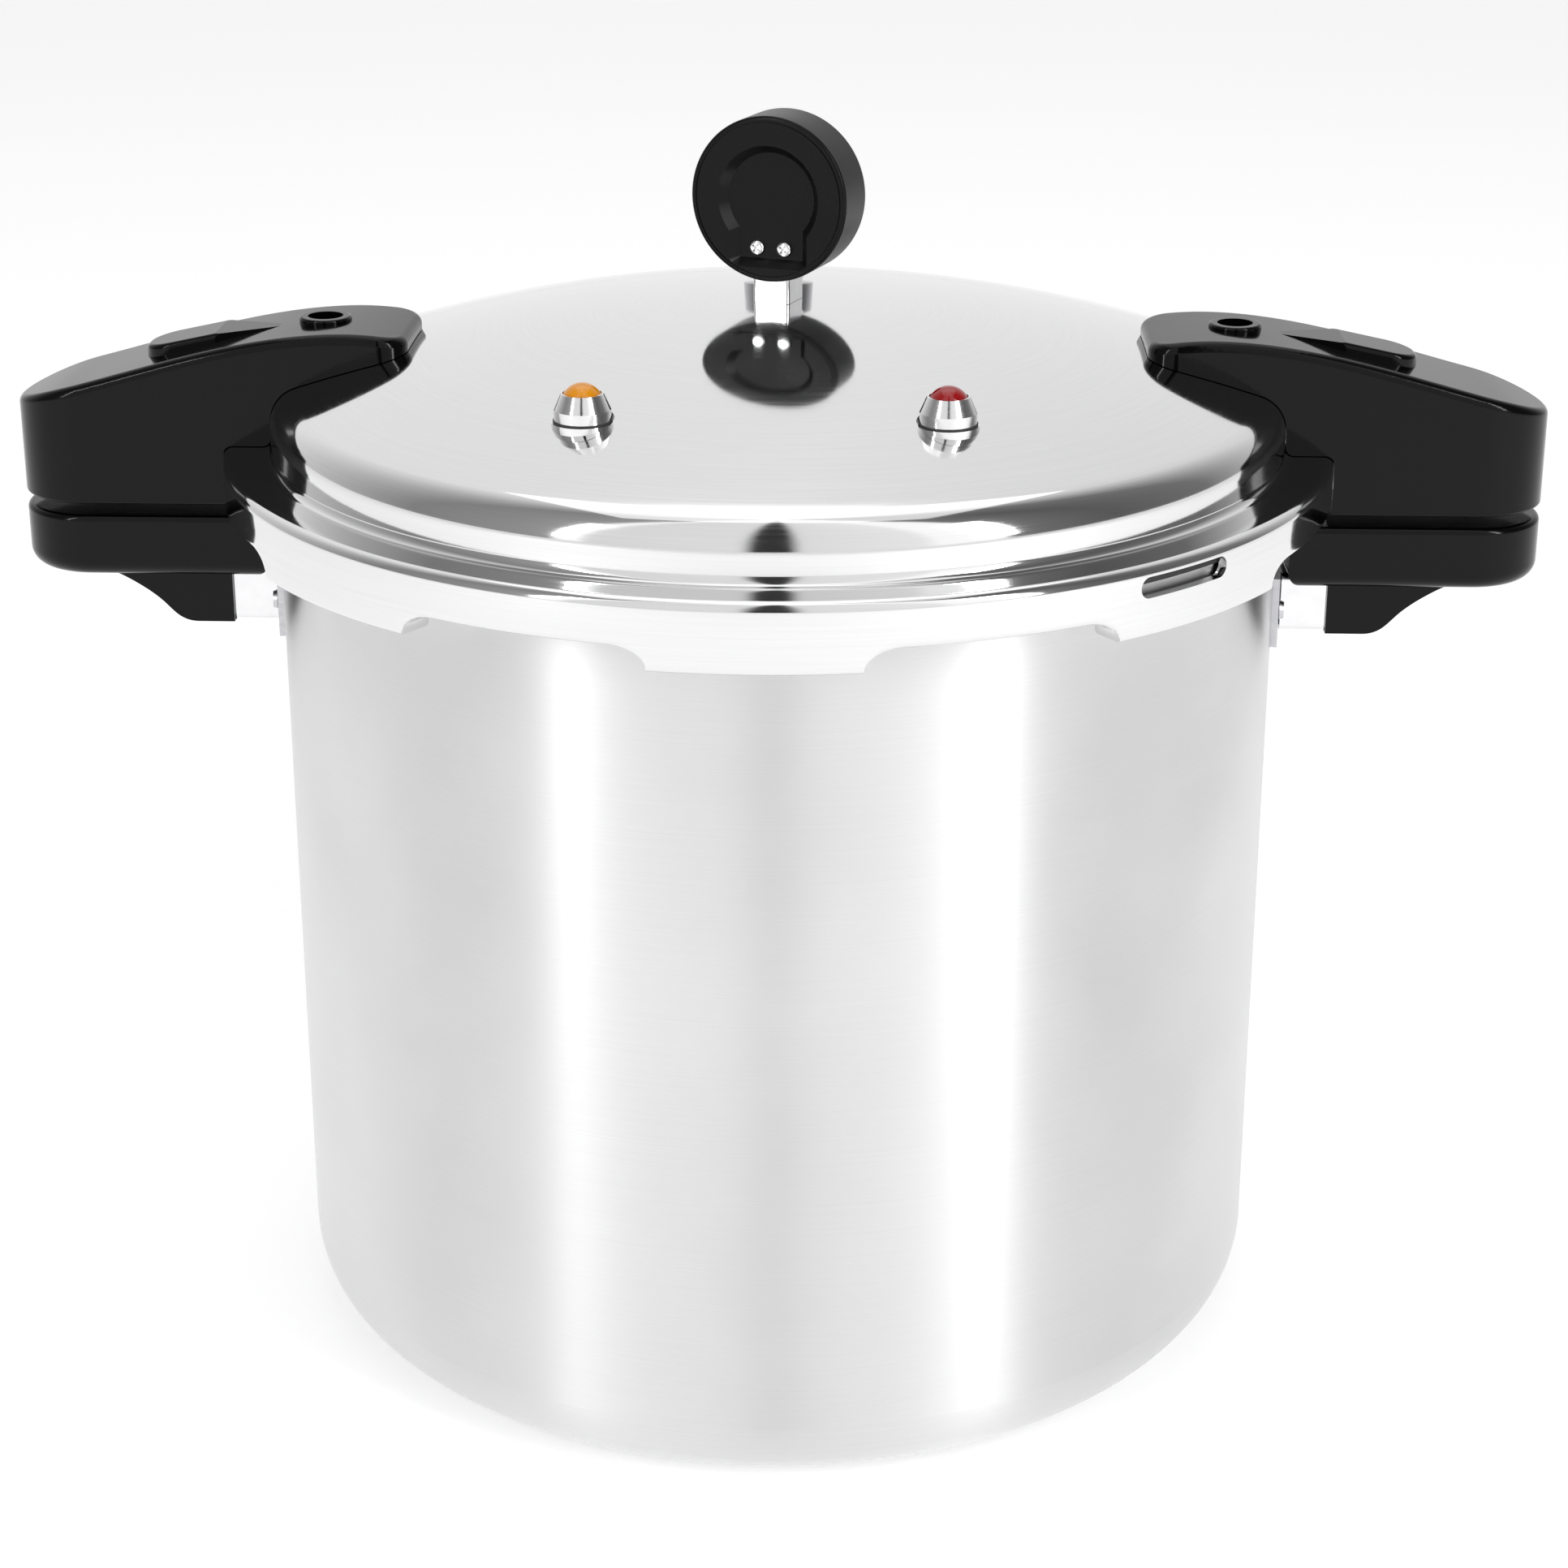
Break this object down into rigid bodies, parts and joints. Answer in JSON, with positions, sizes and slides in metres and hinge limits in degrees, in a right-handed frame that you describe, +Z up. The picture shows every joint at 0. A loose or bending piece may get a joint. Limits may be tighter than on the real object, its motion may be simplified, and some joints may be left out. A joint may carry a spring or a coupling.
{
  "type": "pressure canner",
  "caption": "Tall aluminium pressure canner with a bayonet lid, side handles, dial gauge, safety valves and a lift-out jar rack.",
  "frame": {"origin": "centre of the base on the surface it stands on", "axes": "+X along the side handles, +Z up, camera side of the picture is -Y"},
  "size_m": [0.499, 0.36, 0.4016],
  "materials": {
    "brushed_aluminium": "brushed",
    "polished_aluminium": "polished",
    "turned_aluminium": "turned",
    "rack_aluminium": "mill finish",
    "steel": "zinc plated",
    "chrome": "bright",
    "weight_steel": "satin",
    "black_phenolic": "gloss",
    "rubber": "matt",
    "amber_enamel": "gloss",
    "red_enamel": "gloss",
    "black_enamel": "satin",
    "lens_glass": "clear",
    "dial_white": "satin",
    "pointer_black": "satin",
    "brass": "satin"
  },
  "bodies": {
    "pot": {"pot_shell": "brushed_aluminium", "pot_bracket_left": "steel", "pot_bracket_right": "steel", "bracket_rivets": "steel", "ferrule_left": "chrome", "ferrule_right": "chrome", "pot_handle_left": "black_phenolic", "pot_handle_right": "black_phenolic", "pot_handle_bolts": "steel"},
    "jar_rack": {"jar_rack": "rack_aluminium"},
    "sealing_ring": {"sealing_ring": "rubber"},
    "lid": {"lid_shell": "polished_aluminium", "lid_handle_left": "black_phenolic", "lid_handle_right": "black_phenolic", "handle_screws": "steel", "handle_washers": "steel", "handle_cap_nuts": "steel", "valve_seals": "rubber", "valve_nuts": "turned_aluminium", "valve_bushes": "turned_aluminium", "valve_inner_seals": "rubber", "amber_spring": "steel", "red_spring": "steel", "gauge_stem": "chrome", "gauge_gasket": "rubber", "gauge_nut": "brass", "gauge_case": "black_enamel", "case_screws": "chrome", "gauge_bezel": "black_enamel", "gauge_lens": "lens_glass", "dial_plate": "dial_white", "movement_plates": "brass", "bourdon_tube": "brass", "vent_seal": "rubber", "vent_pipe": "steel", "vent_nut": "steel"},
    "amber_valve": {"amber_plunger": "amber_enamel", "amber_clip": "steel"},
    "red_valve": {"red_plunger": "red_enamel", "red_clip": "steel"},
    "regulator": {"regulator_weight": "weight_steel"},
    "sector": {"sector_gear": "brass"},
    "pointer": {"pointer": "pointer_black", "pinion": "brass"}
  },
  "joints": [
    {"name": "rack_lift", "type": "slide", "parent": "pot", "child": "jar_rack", "axis": [0, 0, 1], "range_m": [0, 0.25]},
    {"name": "lid_lift", "type": "slide", "parent": "pot", "child": "sealing_ring", "axis": [0, 0, 1], "range_m": [0, 0.25]},
    {"name": "lid_turn", "type": "hinge", "parent": "sealing_ring", "child": "lid", "pos_m": [0, 0, 0.3], "axis": [0, 0, 1], "range_deg": [0, 22.2]},
    {"name": "amber_pop", "type": "slide", "parent": "lid", "child": "amber_valve", "axis": [0, 0, 1], "range_m": [0, 0.003], "stiffness_N_per_m": 400, "deforming": ["amber_spring"]},
    {"name": "red_pop", "type": "slide", "parent": "lid", "child": "red_valve", "axis": [0, 0, 1], "range_m": [0, 0.003], "stiffness_N_per_m": 400, "deforming": ["red_spring"]},
    {"name": "regulator_lift", "type": "slide", "parent": "lid", "child": "regulator", "axis": [0, 0, 1], "range_m": [0, 0.05]},
    {"name": "sector_swing", "type": "hinge", "parent": "lid", "child": "sector", "pos_m": [0.00808, -0.00294, 0.3665], "axis": [0.342, 0.9397, 0], "range_deg": [0, 45], "stiffness_Nm_per_rad": 0.01},
    {"name": "pointer_turn", "type": "hinge", "parent": "lid", "child": "pointer", "pos_m": [0, 0, 0.3751], "axis": [0.342, 0.9397, 0], "range_deg": [-255, 0]}
  ],
  "couplings": [
    {"joint": "pointer_turn", "follows": "sector_swing", "ratio": -5.6}
  ]
}
